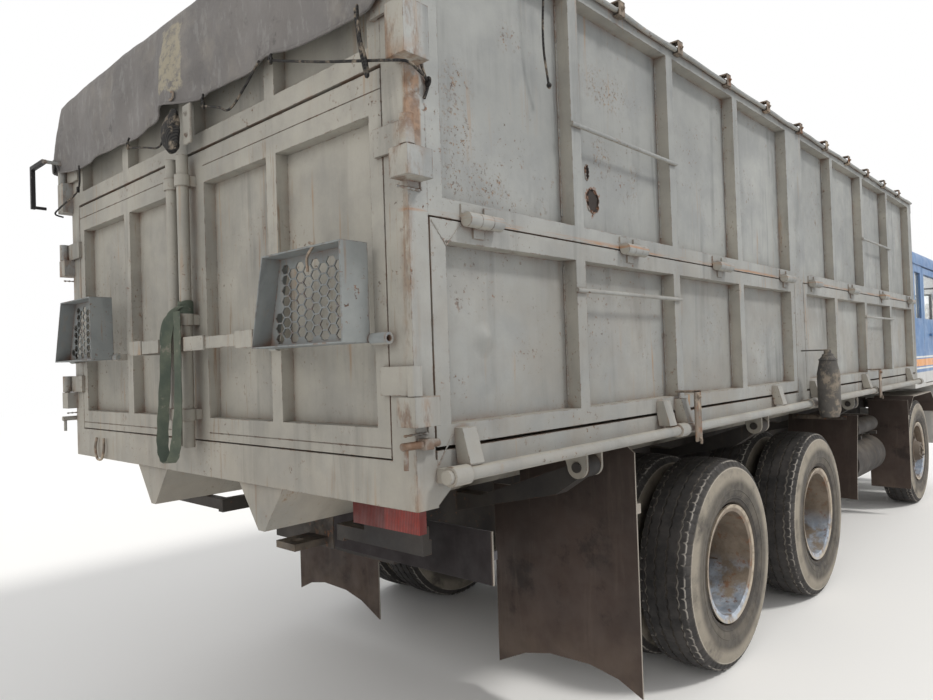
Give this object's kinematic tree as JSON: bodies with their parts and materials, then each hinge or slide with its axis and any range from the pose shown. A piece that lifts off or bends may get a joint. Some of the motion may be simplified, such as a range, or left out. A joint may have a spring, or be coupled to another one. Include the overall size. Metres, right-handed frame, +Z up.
{
  "type": "side-tipping dump truck",
  "caption": "Forward-control dump truck whose ribbed steel body tips sideways, with drop side flaps, rear doors, cover sheet, tilting cab and steered front wheels.",
  "frame": {"origin": "on the ground under the middle of the truck's length and width", "axes": "+X forward to the cab, +Y to the truck's left, +Z up"},
  "size_m": [8.475, 2.903, 2.9793],
  "materials": {
    "frame_paint": "dusty satin",
    "body_paint": "weathered, rust-stained",
    "cab_paint": "faded gloss",
    "cab_lower_paint": "dusty",
    "bare_steel": "dirty and rusty",
    "cast_parts": "oily dust",
    "tyre_rubber": "dusty",
    "rim_steel": "dusty with rust",
    "flap_rubber": "dusty brown",
    "cover_fabric": "worn cover cloth",
    "webbing": "frayed webbing",
    "can_plastic": "scuffed",
    "tail_lamp_lens": "scratched",
    "head_lamp_lens": "clear",
    "window_glass": "dusty",
    "interior_trim": "worn",
    "polished_rod": "oiled"
  },
  "bodies": {
    "chassis": {"frame": "frame_paint", "tow_hitch": "cast_parts", "bumper": "cab_lower_paint", "head_lamps": "head_lamp_lens", "tail_lamps": "tail_lamp_lens", "axles": "cast_parts", "springs": "cast_parts", "engine": "cast_parts", "tanks": "frame_paint", "mudflaps": "flap_rubber", "cab_steps": "cab_lower_paint"},
    "steering_right": {"knuckle_right": "cast_parts"},
    "steering_left": {"knuckle_left": "cast_parts"},
    "front_wheel_right": {"tyre_front_right": "tyre_rubber", "rim_front_right": "rim_steel"},
    "front_wheel_left": {"tyre_front_left": "tyre_rubber", "rim_front_left": "rim_steel"},
    "load_body": {"bed_floor": "body_paint", "bed_beams": "body_paint", "rear_frame": "body_paint", "side_upper_right": "body_paint", "side_upper_left": "body_paint", "front_wall": "body_paint", "upper_rear_doors": "body_paint", "cover_sheet": "cover_fabric", "latch_shafts": "body_paint", "wash_can": "can_plastic"},
    "side_flap_rear_right": {"flap_rear_right": "body_paint"},
    "side_flap_front_right": {"flap_front_right": "body_paint"},
    "side_flap_rear_left": {"flap_rear_left": "body_paint"},
    "side_flap_front_left": {"flap_front_left": "body_paint"},
    "tail_door_right": {"rear_door_right": "body_paint", "door_strap": "webbing"},
    "tail_door_left": {"rear_door_left": "body_paint"},
    "door_step_right": {"step_right": "body_paint"},
    "door_step_left": {"step_left": "body_paint"},
    "ram_outer": {"ram_tube": "frame_paint"},
    "ram_first": {"ram_stage_1": "polished_rod"},
    "ram_second": {"ram_stage_2": "polished_rod"},
    "ram_third": {"ram_stage_3": "polished_rod"},
    "cab": {"cab_floor": "cab_lower_paint", "cab_front": "cab_paint", "cab_sides": "cab_paint", "cab_roof": "cab_paint", "cab_glass": "window_glass", "cab_interior": "interior_trim", "cab_mirrors": "cast_parts"},
    "driver_door": {"cab_door_left": "cab_paint", "door_glass_left": "window_glass"},
    "passenger_door": {"cab_door_right": "cab_paint", "door_glass_right": "window_glass"},
    "rear_wheels_right": {"tyres_rear_right": "tyre_rubber", "rims_rear_right": "rim_steel"},
    "mid_wheels_right": {"tyres_mid_right": "tyre_rubber", "rims_mid_right": "rim_steel"},
    "rear_wheels_left": {"tyres_rear_left": "tyre_rubber", "rims_rear_left": "rim_steel"},
    "mid_wheels_left": {"tyres_mid_left": "tyre_rubber", "rims_mid_left": "rim_steel"}
  },
  "joints": [
    {"name": "tip_bed", "type": "hinge", "parent": "chassis", "child": "load_body", "pos_m": [0.2475, -1.1, 1.13], "axis": [1, 0, 0], "range_deg": [0, 45]},
    {"name": "swing_ram", "type": "hinge", "parent": "chassis", "child": "ram_outer", "pos_m": [0.2475, 0, 0.72], "axis": [1, 0, 0], "range_deg": [0, 17]},
    {"name": "extend_ram_1", "type": "slide", "parent": "ram_outer", "child": "ram_first", "axis": [0, 0, 1], "range_m": [0, 0.275]},
    {"name": "extend_ram_2", "type": "slide", "parent": "ram_first", "child": "ram_second", "axis": [0, 0, 1], "range_m": [0, 0.275]},
    {"name": "extend_ram_3", "type": "slide", "parent": "ram_second", "child": "ram_third", "axis": [0, 0, 1], "range_m": [0, 0.275]},
    {"name": "steer_right", "type": "hinge", "parent": "chassis", "child": "steering_right", "pos_m": [2.8675, -0.85, 0.513], "axis": [0, 0, 1], "range_deg": [-32, 32]},
    {"name": "roll_front_right", "type": "hinge", "parent": "steering_right", "child": "front_wheel_right", "pos_m": [2.8675, -1.014, 0.513], "axis": [0, 1, 0], "continuous": true},
    {"name": "roll_rear_right", "type": "hinge", "parent": "chassis", "child": "rear_wheels_right", "pos_m": [-1.9525, -0.92, 0.513], "axis": [0, 1, 0], "continuous": true},
    {"name": "roll_mid_right", "type": "hinge", "parent": "chassis", "child": "mid_wheels_right", "pos_m": [-0.5825, -0.92, 0.513], "axis": [0, 1, 0], "continuous": true},
    {"name": "drop_flap_rear_right", "type": "hinge", "parent": "load_body", "child": "side_flap_rear_right", "pos_m": [-2.5225, -1.275, 1.963], "axis": [-1, 0, 0], "range_deg": [0, 90]},
    {"name": "drop_flap_front_right", "type": "hinge", "parent": "load_body", "child": "side_flap_front_right", "pos_m": [0.6975, -1.275, 1.963], "axis": [-1, 0, 0], "range_deg": [0, 90]},
    {"name": "open_tail_door_right", "type": "hinge", "parent": "load_body", "child": "tail_door_right", "pos_m": [-4.1325, -1.285, 1.8], "axis": [0, 0, 1], "range_deg": [0, 180]},
    {"name": "fold_step_right", "type": "hinge", "parent": "tail_door_right", "child": "door_step_right", "pos_m": [-4.1365, -0.89, 1.622], "axis": [0, -1, 0], "range_deg": [0, 90]},
    {"name": "steer_left", "type": "hinge", "parent": "chassis", "child": "steering_left", "pos_m": [2.8675, 0.85, 0.513], "axis": [0, 0, 1], "range_deg": [-32, 32]},
    {"name": "roll_front_left", "type": "hinge", "parent": "steering_left", "child": "front_wheel_left", "pos_m": [2.8675, 1.014, 0.513], "axis": [0, 1, 0], "continuous": true},
    {"name": "roll_rear_left", "type": "hinge", "parent": "chassis", "child": "rear_wheels_left", "pos_m": [-1.9525, 0.92, 0.513], "axis": [0, 1, 0], "continuous": true},
    {"name": "roll_mid_left", "type": "hinge", "parent": "chassis", "child": "mid_wheels_left", "pos_m": [-0.5825, 0.92, 0.513], "axis": [0, 1, 0], "continuous": true},
    {"name": "drop_flap_rear_left", "type": "hinge", "parent": "load_body", "child": "side_flap_rear_left", "pos_m": [-2.5225, 1.275, 1.963], "axis": [1, 0, 0], "range_deg": [0, 90]},
    {"name": "drop_flap_front_left", "type": "hinge", "parent": "load_body", "child": "side_flap_front_left", "pos_m": [0.6975, 1.275, 1.963], "axis": [1, 0, 0], "range_deg": [0, 90]},
    {"name": "open_tail_door_left", "type": "hinge", "parent": "load_body", "child": "tail_door_left", "pos_m": [-4.1325, 1.285, 1.8], "axis": [0, 0, -1], "range_deg": [0, 180]},
    {"name": "fold_step_left", "type": "hinge", "parent": "tail_door_left", "child": "door_step_left", "pos_m": [-4.1365, 0.89, 1.622], "axis": [0, -1, 0], "range_deg": [0, 90]},
    {"name": "tilt_cab", "type": "hinge", "parent": "chassis", "child": "cab", "pos_m": [3.9875, 0, 0.93], "axis": [0, 1, 0], "range_deg": [0, 42]},
    {"name": "open_passenger_door", "type": "hinge", "parent": "cab", "child": "passenger_door", "pos_m": [3.9715, -1.214, 1.75], "axis": [0, 0, 1], "range_deg": [0, 65]},
    {"name": "open_driver_door", "type": "hinge", "parent": "cab", "child": "driver_door", "pos_m": [3.9715, 1.214, 1.75], "axis": [0, 0, -1], "range_deg": [0, 65]}
  ],
  "couplings": [
    {"joint": "swing_ram", "follows": "tip_bed", "ratio": 0.3556},
    {"joint": "extend_ram_1", "follows": "tip_bed", "m_per_rad": 0.3463},
    {"joint": "extend_ram_2", "follows": "tip_bed", "m_per_rad": 0.3463},
    {"joint": "extend_ram_3", "follows": "tip_bed", "m_per_rad": 0.3463},
    {"joint": "steer_right", "follows": "steer_left", "ratio": 1}
  ]
}
